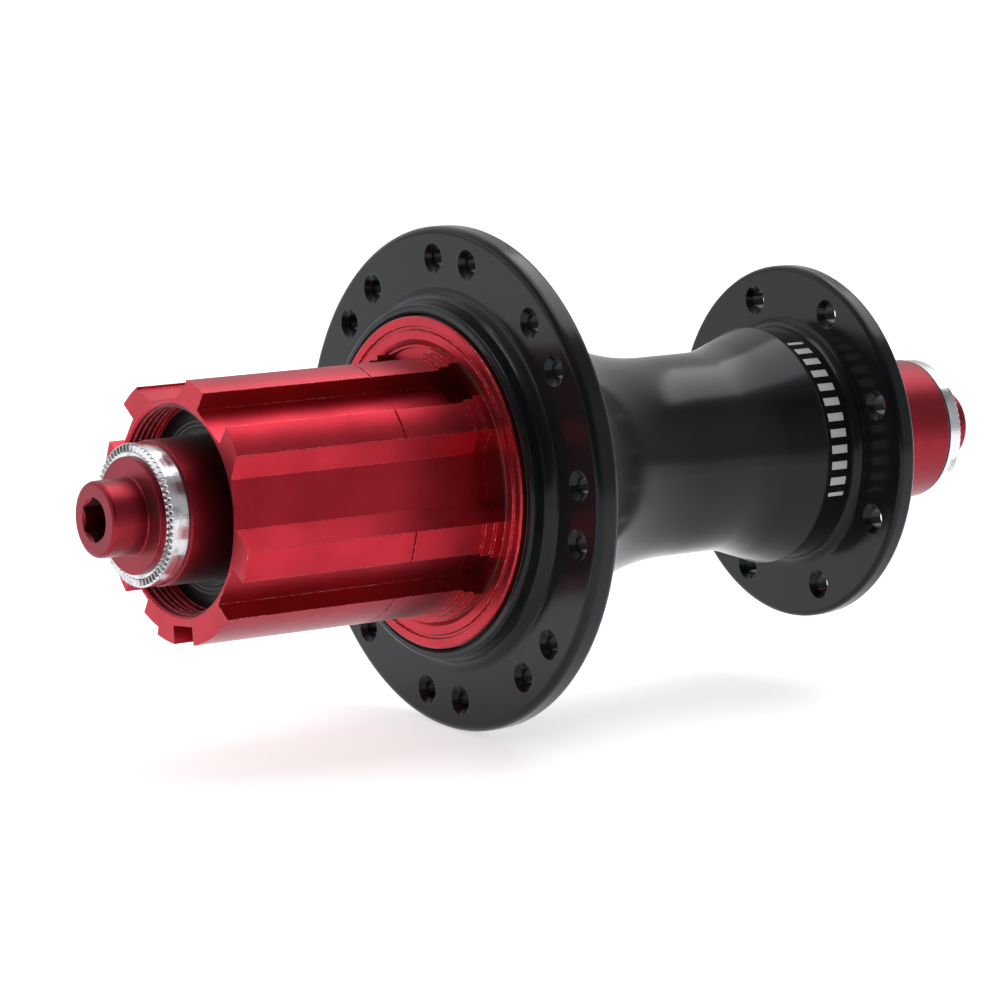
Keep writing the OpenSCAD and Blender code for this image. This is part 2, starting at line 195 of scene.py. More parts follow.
def anodised(name, colour, deep_colour, roughness, metallic, wear, gloss, coat, grain_depth):
    """Bead-blasted and anodised aluminium: fine grain, faint lathe lines, edges worn to bare metal."""
    material = bpy.data.materials.new(name)
    material.use_nodes = True
    tree = material.node_tree
    tree.nodes.clear()

    turning = tree.nodes.new("NodeFrame")
    turning.label = "lathe lines"
    grain = tree.nodes.new("NodeFrame")
    grain.label = "blasted grain"
    edges = tree.nodes.new("NodeFrame")
    edges.label = "rounded and worn edges"
    finish = tree.nodes.new("NodeFrame")
    finish.label = "anodised skin"

    place = tree.nodes.new("ShaderNodeTexCoord")
    place.label = "place on the hub"
    place.location = (-1700, 0)

    split = tree.nodes.new("ShaderNodeSeparateXYZ")
    split.label = "along and across the axle"
    split.parent = turning
    split.location = (-1480, 420)
    across = tree.nodes.new("ShaderNodeCombineXYZ")
    across.label = "across only"
    across.parent = turning
    across.location = (-1300, 500)
    radius = tree.nodes.new("ShaderNodeVectorMath")
    radius.label = "distance from the axle"
    radius.operation = "LENGTH"
    radius.parent = turning
    radius.location = (-1120, 500)
    track = tree.nodes.new("ShaderNodeCombineXYZ")
    track.label = "lathe tool's track"
    track.parent = turning
    track.location = (-940, 420)
    lines = tree.nodes.new("ShaderNodeTexNoise")
    lines.label = "fine turned lines"
    lines.parent = turning
    lines.location = (-760, 420)
    lines.inputs["Scale"].default_value = 2600.0
    lines.inputs["Detail"].default_value = 2.0

    speckle = tree.nodes.new("ShaderNodeTexNoise")
    speckle.label = "blasted pits"
    speckle.parent = grain
    speckle.location = (-1480, 0)
    speckle.inputs["Scale"].default_value = 5200.0
    speckle.inputs["Detail"].default_value = 3.0
    cloud = tree.nodes.new("ShaderNodeTexNoise")
    cloud.label = "uneven dye"
    cloud.parent = grain
    cloud.location = (-1480, -260)
    cloud.inputs["Scale"].default_value = 160.0
    cloud.inputs["Detail"].default_value = 4.0
    shade = tree.nodes.new("ShaderNodeMath")
    shade.label = "pits and dye together"
    shade.operation = "MULTIPLY_ADD"
    shade.parent = grain
    shade.location = (-1240, -120)
    shade.inputs[1].default_value = 0.55
    dye = tree.nodes.new("ShaderNodeMapRange")
    dye.label = "strength of the dye"
    dye.parent = grain
    dye.location = (-1040, -120)
    dye.inputs["From Min"].default_value = 0.55
    dye.inputs["From Max"].default_value = 1.0
    pits = tree.nodes.new("ShaderNodeMapRange")
    pits.label = "gloss varies with the pits"
    pits.parent = grain
    pits.location = (-1040, -380)
    pits.inputs["From Min"].default_value = 0.3
    pits.inputs["From Max"].default_value = 0.7
    pits.inputs["To Min"].default_value = roughness - 0.04
    pits.inputs["To Max"].default_value = roughness + 0.05

    rounded = tree.nodes.new("ShaderNodeBevel")
    rounded.label = "slightly rounded edges"
    rounded.samples = 4
    rounded.parent = edges
    rounded.location = (-1480, -700)
    rounded.inputs["Radius"].default_value = 0.14 * MM
    surface = tree.nodes.new("ShaderNodeNewGeometry")
    surface.label = "the face itself"
    surface.parent = edges
    surface.location = (-1480, -900)
    bend = tree.nodes.new("ShaderNodeVectorMath")
    bend.label = "how sharply it bends"
    bend.operation = "DOT_PRODUCT"
    bend.parent = edges
    bend.location = (-1260, -780)
    sharp = tree.nodes.new("ShaderNodeMapRange")
    sharp.label = "on an edge"
    sharp.parent = edges
    sharp.location = (-1080, -780)
    sharp.inputs["From Min"].default_value = 0.985
    sharp.inputs["From Max"].default_value = 0.90
    scuff = tree.nodes.new("ShaderNodeTexNoise")
    scuff.label = "scuffed here and there"
    scuff.parent = edges
    scuff.location = (-1260, -1000)
    scuff.inputs["Scale"].default_value = 2400.0
    scuff.inputs["Detail"].default_value = 5.0
    patch = tree.nodes.new("ShaderNodeMapRange")
    patch.label = "where the skin is gone"
    patch.parent = edges
    patch.location = (-1080, -1000)
    patch.inputs["From Min"].default_value = 0.50
    patch.inputs["From Max"].default_value = 0.68
    patch.inputs["To Max"].default_value = wear
    bare = tree.nodes.new("ShaderNodeMath")
    bare.label = "bare metal"
    bare.operation = "MULTIPLY"
    bare.parent = edges
    bare.location = (-880, -860)

    tint = tree.nodes.new("ShaderNodeMix")
    tint.label = "dyed colour"
    tint.data_type = "RGBA"
    tint.parent = finish
    tint.location = (-640, 0)
    tint.inputs[6].default_value = deep_colour
    tint.inputs[7].default_value = colour
    worn = tree.nodes.new("ShaderNodeMix")
    worn.label = "worn edges"
    worn.data_type = "RGBA"
    worn.parent = finish
    worn.location = (-440, 0)
    worn.inputs[7].default_value = (0.80, 0.74, 0.74, 1.0)
    rings = tree.nodes.new("ShaderNodeBump")
    rings.label = "raised lathe lines"
    rings.parent = finish
    rings.location = (-440, -420)
    rings.inputs["Strength"].default_value = 0.05
    rings.inputs["Distance"].default_value = 0.02 * MM
    blast = tree.nodes.new("ShaderNodeBump")
    blast.label = "sunk pits"
    blast.parent = finish
    blast.location = (-240, -420)
    blast.inputs["Strength"].default_value = grain_depth
    blast.inputs["Distance"].default_value = 0.02 * MM
    shader = tree.nodes.new("ShaderNodeBsdfPrincipled")
    shader.label = "anodised aluminium"
    shader.parent = finish
    shader.location = (0, 0)
    shader.inputs["Metallic"].default_value = metallic
    shader.inputs["IOR"].default_value = 1.55
    shader.inputs["Specular IOR Level"].default_value = gloss
    shader.inputs["Specular Tint"].default_value = (0.88, 0.94, 1.0, 1.0)
    shader.inputs["Coat Weight"].default_value = coat
    shader.inputs["Sheen Weight"].default_value = 0.2
    shader.inputs["Sheen Roughness"].default_value = 0.35
    shader.inputs["Coat Roughness"].default_value = 0.35
    output = tree.nodes.new("ShaderNodeOutputMaterial")
    output.location = (300, 0)

    links = tree.links
    links.new(place.outputs["Object"], split.inputs["Vector"])
    links.new(split.outputs["X"], across.inputs["X"])
    links.new(split.outputs["Z"], across.inputs["Z"])
    links.new(across.outputs["Vector"], radius.inputs[0])
    links.new(radius.outputs["Value"], track.inputs["X"])
    links.new(split.outputs["Y"], track.inputs["Y"])
    links.new(track.outputs["Vector"], lines.inputs["Vector"])
    links.new(place.outputs["Object"], speckle.inputs["Vector"])
    links.new(place.outputs["Object"], cloud.inputs["Vector"])
    links.new(speckle.outputs["Fac"], shade.inputs[0])
    links.new(cloud.outputs["Fac"], shade.inputs[2])
    links.new(shade.outputs["Value"], dye.inputs["Value"])
    links.new(speckle.outputs["Fac"], pits.inputs["Value"])
    links.new(rounded.outputs["Normal"], bend.inputs[0])
    links.new(surface.outputs["True Normal"], bend.inputs[1])
    links.new(bend.outputs["Value"], sharp.inputs["Value"])
    links.new(place.outputs["Object"], scuff.inputs["Vector"])
    links.new(scuff.outputs["Fac"], patch.inputs["Value"])
    links.new(sharp.outputs["Result"], bare.inputs[0])
    links.new(patch.outputs["Result"], bare.inputs[1])
    links.new(dye.outputs["Result"], tint.inputs[0])
    links.new(tint.outputs[2], worn.inputs[6])
    links.new(bare.outputs["Value"], worn.inputs[0])
    links.new(lines.outputs["Fac"], rings.inputs["Height"])
    links.new(rounded.outputs["Normal"], rings.inputs["Normal"])
    links.new(speckle.outputs["Fac"], blast.inputs["Height"])
    links.new(rings.outputs["Normal"], blast.inputs["Normal"])
    links.new(worn.outputs[2], shader.inputs["Base Color"])
    links.new(pits.outputs["Result"], shader.inputs["Roughness"])
    links.new(blast.outputs["Normal"], shader.inputs["Normal"])
    links.new(shader.outputs["BSDF"], output.inputs["Surface"])
    return material


def add_neck_bars(material):
    """Plain pale bars printed side by side on the neck next to the small flange."""
    first_angle = math.radians(20)
    last_angle = math.radians(108)
    pitch = math.radians(8)
    near_edge = 36.4 * MM
    far_edge = 39.0 * MM
    inner_radius = 15.0 * MM
    outer_radius = 16.2 * MM
    tree = material.node_tree
    shader = tree.nodes["Principled BSDF"]
    plain = shader.inputs["Base Color"].links[0].from_socket

    print_frame = tree.nodes.new("NodeFrame")
    print_frame.label = "printed bars"
    place = tree.nodes.new("ShaderNodeTexCoord")
    place.label = "place on the shell"
    place.parent = print_frame
    place.location = (-1700, 1400)
    split = tree.nodes.new("ShaderNodeSeparateXYZ")
    split.label = "along and across"
    split.parent = print_frame
    split.location = (-1500, 1400)
    angle = tree.nodes.new("ShaderNodeMath")
    angle.label = "angle from the top"
    angle.operation = "ARCTAN2"
    angle.parent = print_frame
    angle.location = (-1300, 1500)
    flat = tree.nodes.new("ShaderNodeVectorMath")
    flat.label = "across the axle only"
    flat.operation = "MULTIPLY"
    flat.parent = print_frame
    flat.location = (-1500, 1200)
    flat.inputs[1].default_value = (1.0, 0.0, 1.0)
    radius = tree.nodes.new("ShaderNodeVectorMath")
    radius.label = "distance from the axle"
    radius.operation = "LENGTH"
    radius.parent = print_frame
    radius.location = (-1300, 1200)
    beat = tree.nodes.new("ShaderNodeMath")
    beat.label = "place within one pitch"
    beat.operation = "PINGPONG"
    beat.parent = print_frame
    beat.location = (-1100, 1600)
    beat.inputs[1].default_value = pitch / 2
    in_bar = tree.nodes.new("ShaderNodeMath")
    in_bar.label = "on a bar"
    in_bar.operation = "GREATER_THAN"
    in_bar.parent = print_frame
    in_bar.location = (-900, 1600)
    in_bar.inputs[1].default_value = pitch / 4
    in_arc = tree.nodes.new("ShaderNodeMath")
    in_arc.label = "within the printed arc"
    in_arc.operation = "COMPARE"
    in_arc.parent = print_frame
    in_arc.location = (-1100, 1420)
    in_arc.inputs[1].default_value = (first_angle + last_angle) / 2
    in_arc.inputs[2].default_value = (last_angle - first_angle) / 2
    in_band = tree.nodes.new("ShaderNodeMath")
    in_band.label = "within the band's width"
    in_band.operation = "COMPARE"
    in_band.parent = print_frame
    in_band.location = (-1100, 1240)
    in_band.inputs[1].default_value = (near_edge + far_edge) / 2
    in_band.inputs[2].default_value = (far_edge - near_edge) / 2
    on_neck = tree.nodes.new("ShaderNodeMath")
    on_neck.label = "on the neck's surface"
    on_neck.operation = "COMPARE"
    on_neck.parent = print_frame
    on_neck.location = (-1100, 1060)
    on_neck.inputs[1].default_value = (inner_radius + outer_radius) / 2
    on_neck.inputs[2].default_value = (outer_radius - inner_radius) / 2
    bar_arc = tree.nodes.new("ShaderNodeMath")
    bar_arc.label = "bars of the arc"
    bar_arc.operation = "MULTIPLY"
    bar_arc.parent = print_frame
    bar_arc.location = (-700, 1500)
    band_neck = tree.nodes.new("ShaderNodeMath")
    band_neck.label = "band of the neck"
    band_neck.operation = "MULTIPLY"
    band_neck.parent = print_frame
    band_neck.location = (-700, 1200)
    printed = tree.nodes.new("ShaderNodeMath")
    printed.label = "where the ink is"
    printed.operation = "MULTIPLY"
    printed.parent = print_frame
    printed.location = (-500, 1350)
    ink = tree.nodes.new("ShaderNodeMix")
    ink.label = "pale ink"
    ink.data_type = "RGBA"
    ink.parent = print_frame
    ink.location = (-300, 1300)
    ink.inputs[7].default_value = (0.50, 0.50, 0.52, 1.0)

    links = tree.links
    links.new(place.outputs["Object"], split.inputs["Vector"])
    links.new(place.outputs["Object"], flat.inputs[0])
    links.new(split.outputs["X"], angle.inputs[0])
    links.new(split.outputs["Z"], angle.inputs[1])
    links.new(flat.outputs["Vector"], radius.inputs[0])
    links.new(angle.outputs["Value"], beat.inputs[0])
    links.new(beat.outputs["Value"], in_bar.inputs[0])
    links.new(angle.outputs["Value"], in_arc.inputs[0])
    links.new(split.outputs["Y"], in_band.inputs[0])
    links.new(radius.outputs["Value"], on_neck.inputs[0])
    links.new(in_bar.outputs["Value"], bar_arc.inputs[0])
    links.new(in_arc.outputs["Value"], bar_arc.inputs[1])
    links.new(in_band.outputs["Value"], band_neck.inputs[0])
    links.new(on_neck.outputs["Value"], band_neck.inputs[1])
    links.new(bar_arc.outputs["Value"], printed.inputs[0])
    links.new(band_neck.outputs["Value"], printed.inputs[1])
    links.new(printed.outputs["Value"], ink.inputs[0])
    links.new(plain, ink.inputs[6])
    links.new(ink.outputs[2], shader.inputs["Base Color"])


def bare_metal(name, bright, dull, roughness, line_scale, smudge):
    """Turned or ground metal: lines round the axle and a few darker smudges."""
    material = bpy.data.materials.new(name)
    material.use_nodes = True
    tree = material.node_tree
    tree.nodes.clear()

    turning = tree.nodes.new("NodeFrame")
    turning.label = "lines round the axle"
    marks = tree.nodes.new("NodeFrame")
    marks.label = "smudges"
    finish = tree.nodes.new("NodeFrame")
    finish.label = "metal"

    place = tree.nodes.new("ShaderNodeTexCoord")
    place.label = "place on the hub"
    place.location = (-1500, 0)
    split = tree.nodes.new("ShaderNodeSeparateXYZ")
    split.label = "along and across the axle"
    split.parent = turning
    split.location = (-1300, 300)
    across = tree.nodes.new("ShaderNodeCombineXYZ")
    across.label = "across only"
    across.parent = turning
    across.location = (-1120, 380)
    radius = tree.nodes.new("ShaderNodeVectorMath")
    radius.label = "distance from the axle"
    radius.operation = "LENGTH"
    radius.parent = turning
    radius.location = (-940, 380)
    track = tree.nodes.new("ShaderNodeCombineXYZ")
    track.label = "cutting tool's track"
    track.parent = turning
    track.location = (-760, 300)
    lines = tree.nodes.new("ShaderNodeTexNoise")
    lines.label = "turned lines"
    lines.parent = turning
    lines.location = (-580, 300)
    lines.inputs["Scale"].default_value = line_scale
    lines.inputs["Detail"].default_value = 3.0
    gloss = tree.nodes.new("ShaderNodeMapRange")
    gloss.label = "gloss varies with the lines"
    gloss.parent = turning
    gloss.location = (-380, 380)
    gloss.inputs["From Min"].default_value = 0.3
    gloss.inputs["From Max"].default_value = 0.7
    gloss.inputs["To Min"].default_value = max(roughness - 0.06, 0.03)
    gloss.inputs["To Max"].default_value = roughness + 0.08

    cloud = tree.nodes.new("ShaderNodeTexNoise")
    cloud.label = "handling marks"
    cloud.parent = marks
    cloud.location = (-1120, -160)
    cloud.inputs["Scale"].default_value = 330.0
    cloud.inputs["Detail"].default_value = 3.0
    cloud.inputs["Roughness"].default_value = 0.6
    stain = tree.nodes.new("ShaderNodeMapRange")
    stain.label = "only the darkest marks"
    stain.parent = marks
    stain.location = (-920, -160)
    stain.inputs["From Min"].default_value = 0.56
    stain.inputs["From Max"].default_value = 0.68
    stain.inputs["To Max"].default_value = smudge

    tint = tree.nodes.new("ShaderNodeMix")
    tint.label = "clean and smudged metal"
    tint.data_type = "RGBA"
    tint.parent = finish
    tint.location = (-620, -60)
    tint.inputs[6].default_value = bright
    tint.inputs[7].default_value = dull
    rounded = tree.nodes.new("ShaderNodeBevel")
    rounded.label = "broken edges"
    rounded.samples = 4
    rounded.parent = finish
    rounded.location = (-620, -320)
    rounded.inputs["Radius"].default_value = 0.08 * MM
    relief = tree.nodes.new("ShaderNodeBump")
    relief.label = "relief of the lines"
    relief.parent = finish
    relief.location = (-400, -260)
    relief.inputs["Strength"].default_value = 0.10
    relief.inputs["Distance"].default_value = 0.02 * MM
    shader = tree.nodes.new("ShaderNodeBsdfPrincipled")
    shader.label = "metal"
    shader.parent = finish
    shader.location = (-160, 0)
    shader.inputs["Metallic"].default_value = 1.0
    output = tree.nodes.new("ShaderNodeOutputMaterial")
    output.location = (160, 0)

    links = tree.links
    links.new(place.outputs["Object"], split.inputs["Vector"])
    links.new(split.outputs["X"], across.inputs["X"])
    links.new(split.outputs["Z"], across.inputs["Z"])
    links.new(across.outputs["Vector"], radius.inputs[0])
    links.new(radius.outputs["Value"], track.inputs["X"])
    links.new(split.outputs["Y"], track.inputs["Y"])
    links.new(track.outputs["Vector"], lines.inputs["Vector"])
    links.new(lines.outputs["Fac"], gloss.inputs["Value"])
    links.new(place.outputs["Object"], cloud.inputs["Vector"])
    links.new(cloud.outputs["Fac"], stain.inputs["Value"])
    links.new(stain.outputs["Result"], tint.inputs[0])
    links.new(tint.outputs[2], shader.inputs["Base Color"])
    links.new(gloss.outputs["Result"], shader.inputs["Roughness"])
    links.new(lines.outputs["Fac"], relief.inputs["Height"])
    links.new(rounded.outputs["Normal"], relief.inputs["Normal"])
    links.new(relief.outputs["Normal"], shader.inputs["Normal"])
    links.new(shader.outputs["BSDF"], output.inputs["Surface"])
    return material


def moulded(name, colour, pale_colour, roughness, ring_pitch, ring_depth):
    """Moulded rubber or nylon with faint rings round the axle and a dusty bloom."""
    material = bpy.data.materials.new(name)
    material.use_nodes = True
    tree = material.node_tree
    tree.nodes.clear()

    ribs = tree.nodes.new("NodeFrame")
    ribs.label = "moulded rings"
    bloom = tree.nodes.new("NodeFrame")
    bloom.label = "dusty bloom"
    finish = tree.nodes.new("NodeFrame")
    finish.label = "moulding"

    place = tree.nodes.new("ShaderNodeTexCoord")
    place.label = "place on the hub"
    place.location = (-1500, 0)
    flat = tree.nodes.new("ShaderNodeVectorMath")
    flat.label = "across the axle only"
    flat.operation = "MULTIPLY"
    flat.parent = ribs
    flat.location = (-1280, 240)
    flat.inputs[1].default_value = (1.0, 0.0, 1.0)
    radius = tree.nodes.new("ShaderNodeVectorMath")
    radius.label = "distance from the axle"
    radius.operation = "LENGTH"
    radius.parent = ribs
    radius.location = (-1100, 240)
    turns = tree.nodes.new("ShaderNodeMath")
    turns.label = "rings counted outwards"
    turns.operation = "MULTIPLY"
    turns.parent = ribs
    turns.location = (-920, 240)
    turns.inputs[1].default_value = 2 * math.pi / ring_pitch
    wave = tree.nodes.new("ShaderNodeMath")
    wave.label = "ring profile"
    wave.operation = "SINE"
    wave.parent = ribs
    wave.location = (-740, 240)

    dust = tree.nodes.new("ShaderNodeTexNoise")
    dust.label = "dust"
    dust.parent = bloom
    dust.location = (-1100, -120)
    dust.inputs["Scale"].default_value = 700.0
    dust.inputs["Detail"].default_value = 6.0
    dusty = tree.nodes.new("ShaderNodeMapRange")
    dusty.label = "where it settles"
    dusty.parent = bloom
    dusty.location = (-900, -120)
    dusty.inputs["From Min"].default_value = 0.45
    dusty.inputs["From Max"].default_value = 0.85

    tint = tree.nodes.new("ShaderNodeMix")
    tint.label = "clean and dusty"
    tint.data_type = "RGBA"
    tint.parent = finish
    tint.location = (-560, 0)
    tint.inputs[6].default_value = colour
    tint.inputs[7].default_value = pale_colour
    relief = tree.nodes.new("ShaderNodeBump")
    relief.label = "relief of the rings"
    relief.parent = finish
    relief.location = (-560, -300)
    relief.inputs["Strength"].default_value = 0.8
    relief.inputs["Distance"].default_value = ring_depth
    shader = tree.nodes.new("ShaderNodeBsdfPrincipled")
    shader.label = "moulding"
    shader.parent = finish
    shader.location = (-300, 0)
    shader.inputs["Roughness"].default_value = roughness
    output = tree.nodes.new("ShaderNodeOutputMaterial")
    output.location = (0, 0)

    links = tree.links
    links.new(place.outputs["Object"], flat.inputs[0])
    links.new(flat.outputs["Vector"], radius.inputs[0])
    links.new(radius.outputs["Value"], turns.inputs[0])
    links.new(turns.outputs["Value"], wave.inputs[0])
    links.new(place.outputs["Object"], dust.inputs["Vector"])
    links.new(dust.outputs["Fac"], dusty.inputs["Value"])
    links.new(dusty.outputs["Result"], tint.inputs[0])
    links.new(wave.outputs["Value"], relief.inputs["Height"])
    links.new(tint.outputs[2], shader.inputs["Base Color"])
    links.new(relief.outputs["Normal"], shader.inputs["Normal"])
    links.new(shader.outputs["BSDF"], output.inputs["Surface"])
    return material


# ---- pieces that repeat ----

def plain_mesh_from(carrier, body, node):
    """Turns a piece's modifiers into one plain mesh at the origin, riding on body."""
    carrier.update_tag()
    bpy.context.view_layer.update()
    depsgraph = bpy.context.evaluated_depsgraph_get()
    mesh = bpy.data.meshes.new_from_object(carrier.evaluated_get(depsgraph))
    carrier.modifiers.clear()
    first_mesh = carrier.data
    carrier.data = mesh
    bpy.data.meshes.remove(first_mesh)
    welded = bmesh.new()
    welded.from_mesh(mesh)
    bmesh.ops.remove_doubles(welded, verts=welded.verts, dist=SEAM)
    bmesh.ops.recalc_face_normals(welded, faces=welded.faces)
    welded.to_mesh(mesh)
    welded.free()
    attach(carrier, body)
    if node:
        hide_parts(node)


def ring_of_teeth_tree(steel):
    """Copies one toothed sector round the Y axis to close a ring."""
    tree = bpy.data.node_groups.new("ring_of_teeth", "GeometryNodeTree")
    tree.is_modifier = True
    tree.interface.new_socket("Sector", in_out="INPUT", socket_type="NodeSocketGeometry")
    count = tree.interface.new_socket("Teeth", in_out="INPUT", socket_type="NodeSocketInt")
    count.default_value = 60
    count.min_value = 8
    tree.interface.new_socket("Ring", in_out="OUTPUT", socket_type="NodeSocketGeometry")
    inputs = tree.nodes.new("NodeGroupInput")
    inputs.location = (-900, 0)
    centres = tree.nodes.new("GeometryNodePoints")
    centres.label = "one point for each tooth, on the axle"
    centres.location = (-680, 120)
    number = tree.nodes.new("GeometryNodeInputIndex")
    number.label = "tooth number"
    number.location = (-900, -240)
    full_turn = tree.nodes.new("ShaderNodeMath")
    full_turn.label = "angle of one tooth"
    full_turn.operation = "DIVIDE"
    full_turn.location = (-680, -120)
    full_turn.inputs[0].default_value = 2 * math.pi
    angle = tree.nodes.new("ShaderNodeMath")
    angle.label = "angle of this tooth"
    angle.operation = "MULTIPLY"
    angle.location = (-500, -180)
    turn = tree.nodes.new("ShaderNodeCombineXYZ")
    turn.label = "turn about the axle"
    turn.location = (-320, -180)
    copies = tree.nodes.new("GeometryNodeInstanceOnPoints")
    copies.label = "a sector at each angle"
    copies.location = (-120, 0)
    real = tree.nodes.new("GeometryNodeRealizeInstances")
    real.location = (80, 0)
    joined = tree.nodes.new("GeometryNodeMergeByDistance")
    joined.label = "close the seams"
    joined.location = (260, 0)
    joined.inputs["Distance"].default_value = SEAM
    plated = tree.nodes.new("GeometryNodeSetMaterial")
    plated.label = "bright plated steel"
    plated.location = (440, 0)
    plated.inputs["Material"].default_value = steel
    outputs = tree.nodes.new("NodeGroupOutput")
    outputs.location = (620, 0)
    links = tree.links
    links.new(inputs.outputs["Teeth"], centres.inputs["Count"])
    links.new(inputs.outputs["Teeth"], full_turn.inputs[1])
    links.new(number.outputs["Index"], angle.inputs[0])
    links.new(full_turn.outputs["Value"], angle.inputs[1])
    links.new(angle.outputs["Value"], turn.inputs["Y"])
    links.new(centres.outputs["Points"], copies.inputs["Points"])
    links.new(inputs.outputs["Sector"], copies.inputs["Instance"])
    links.new(turn.outputs["Vector"], copies.inputs["Rotation"])
    links.new(copies.outputs["Instances"], real.inputs["Geometry"])
    links.new(real.outputs["Geometry"], joined.inputs["Geometry"])
    links.new(joined.outputs["Geometry"], plated.inputs["Geometry"])
    links.new(plated.outputs["Geometry"], outputs.inputs["Ring"])
    return tree, count.identifier


def make_grip_ring(name, node, tree, teeth_socket, teeth, valley):
    """A bright ring whose outboard face bites the dropout with a circle of teeth, valley deep."""
    low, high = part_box(node)
    side = 1 if high.y > 0 else -1
    face = high.y if side > 0 else low.y
    back = low.y if side > 0 else high.y
    outer = high.x
    bore = 7.5 * MM
    land = 8.0 * MM
    foot = 8.15 * MM
    chamfer = 0.25 * MM
    recess = 0.1 * MM
    run_out = 0.06 * MM
    crest = [(bore, back), (bore, face - side * recess), (land, face - side * recess),
             (foot, face), (outer - chamfer, face), (outer, face - side * chamfer), (outer, back)]
    trough = [(bore, back), (bore, face - side * recess), (land, face - side * recess),
              (foot, face - side * 0.8 * valley), (outer - chamfer, face - side * valley),
              (outer, face - side * (valley + run_out)), (outer, back)]
    step = 2 * math.pi / teeth
    flat = step / 7
    sections = [(-step / 2, trough), (-flat / 2, crest), (flat / 2, crest), (step / 2, trough)]
    sector = bmesh.new()
    rows = [[sector.verts.new((r * math.sin(a), y, r * math.cos(a))) for r, y in outline]
            for a, outline in sections]
    for first, second in zip(rows, rows[1:]):
        for i in range(len(first)):
            j = (i + 1) % len(first)
            sector.faces.new((first[i], first[j], second[j], second[i]))
    mesh = bpy.data.meshes.new(name)
    sector.to_mesh(mesh)
    sector.free()
    ring = bpy.data.objects.new(name, mesh)
    bpy.context.scene.collection.objects.link(ring)
    modifier = ring.modifiers.new("teeth", "NODES")
    modifier.node_group = tree
    modifier[teeth_socket] = teeth
    plain_mesh_from(ring, "axle", node)


def thread_tree(dyed_metal):
    """A V-shaped ridge wound as a helix round the Y axis."""
    tree = bpy.data.node_groups.new("thread_turns", "GeometryNodeTree")
    tree.is_modifier = True
    tree.interface.new_socket("Base", in_out="INPUT", socket_type="NodeSocketGeometry")
    sizes = {}
    for label, value in [("Radius", 13.5 * MM), ("Pitch", 0.85 * MM), ("Turns", 4.0),
                         ("Ridge", 0.42 * MM), ("Start", -58.0 * MM)]:
        socket = tree.interface.new_socket(label, in_out="INPUT", socket_type="NodeSocketFloat")
        socket.default_value = value
        sizes[label] = socket.identifier
    tree.interface.new_socket("Thread", in_out="OUTPUT", socket_type="NodeSocketGeometry")
    inputs = tree.nodes.new("NodeGroupInput")
    inputs.location = (-900, 0)
    length = tree.nodes.new("ShaderNodeMath")
    length.label = "length of the thread"
    length.operation = "MULTIPLY"
    length.location = (-680, -160)
    helix = tree.nodes.new("GeometryNodeCurveSpiral")
    helix.label = "path of the ridge"
    helix.location = (-480, 0)
    helix.inputs["Resolution"].default_value = 72
    lay = tree.nodes.new("GeometryNodeTransform")
    lay.label = "lay it along the axle"
    lay.location = (-280, 0)
    lay.inputs["Rotation"].default_value = (-math.pi / 2, 0.0, 0.0)
    shift = tree.nodes.new("ShaderNodeCombineXYZ")
    shift.label = "from the mouth inwards"
    shift.location = (-480, -260)
    section = tree.nodes.new("GeometryNodeCurvePrimitiveCircle")
    section.label = "V section"
    section.location = (-280, -240)
    section.inputs["Resolution"].default_value = 3
    ridge = tree.nodes.new("GeometryNodeCurveToMesh")
    ridge.label = "wind the ridge"
    ridge.location = (-60, 0)
    ridge.inputs["Fill Caps"].default_value = True
    real = tree.nodes.new("GeometryNodeRealizeInstances")
    real.location = (140, 0)
    dyed = tree.nodes.new("GeometryNodeSetMaterial")
    dyed.label = "crimson anodised"
    dyed.location = (320, 0)
    dyed.inputs["Material"].default_value = dyed_metal
    outputs = tree.nodes.new("NodeGroupOutput")
    outputs.location = (500, 0)
    links = tree.links
    links.new(inputs.outputs["Pitch"], length.inputs[0])
    links.new(inputs.outputs["Turns"], length.inputs[1])
    links.new(inputs.outputs["Turns"], helix.inputs["Rotations"])
    links.new(inputs.outputs["Radius"], helix.inputs["Start Radius"])
    links.new(inputs.outputs["Radius"], helix.inputs["End Radius"])
    links.new(length.outputs["Value"], helix.inputs["Height"])
    links.new(inputs.outputs["Start"], shift.inputs["Y"])
    links.new(helix.outputs["Curve"], lay.inputs["Geometry"])
    links.new(shift.outputs["Vector"], lay.inputs["Translation"])
    links.new(inputs.outputs["Ridge"], section.inputs["Radius"])
    links.new(lay.outputs["Geometry"], ridge.inputs["Curve"])
    links.new(section.outputs["Curve"], ridge.inputs["Profile Curve"])
    links.new(ridge.outputs["Mesh"], real.inputs["Geometry"])
    links.new(real.outputs["Geometry"], dyed.inputs["Geometry"])
    links.new(dyed.outputs["Geometry"], outputs.inputs["Thread"])
    return tree, sizes


def make_lockring_thread(dyed_metal):
    """The turns cut in the mouth of the freehub body."""
    tree, sizes = thread_tree(dyed_metal)
    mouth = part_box("freehub_body")[0].y
    mesh = bpy.data.meshes.new("lockring_thread")
    thread = bpy.data.objects.new("lockring_thread", mesh)
    bpy.context.scene.collection.objects.link(thread)
    modifier = thread.modifiers.new("turns", "NODES")
    modifier.node_group = tree
    lead_in = 0.6 * MM
    modifier[sizes["Start"]] = mouth + lead_in
    plain_mesh_from(thread, "freehub", None)


# ---- put the finishes on ----

def paint_nodes(material, names):
    """Gives each named CAD node one material."""
    for name in names:
        mesh = nodes_by_name[name].data
        mesh.materials.clear()
        mesh.materials.append(material)


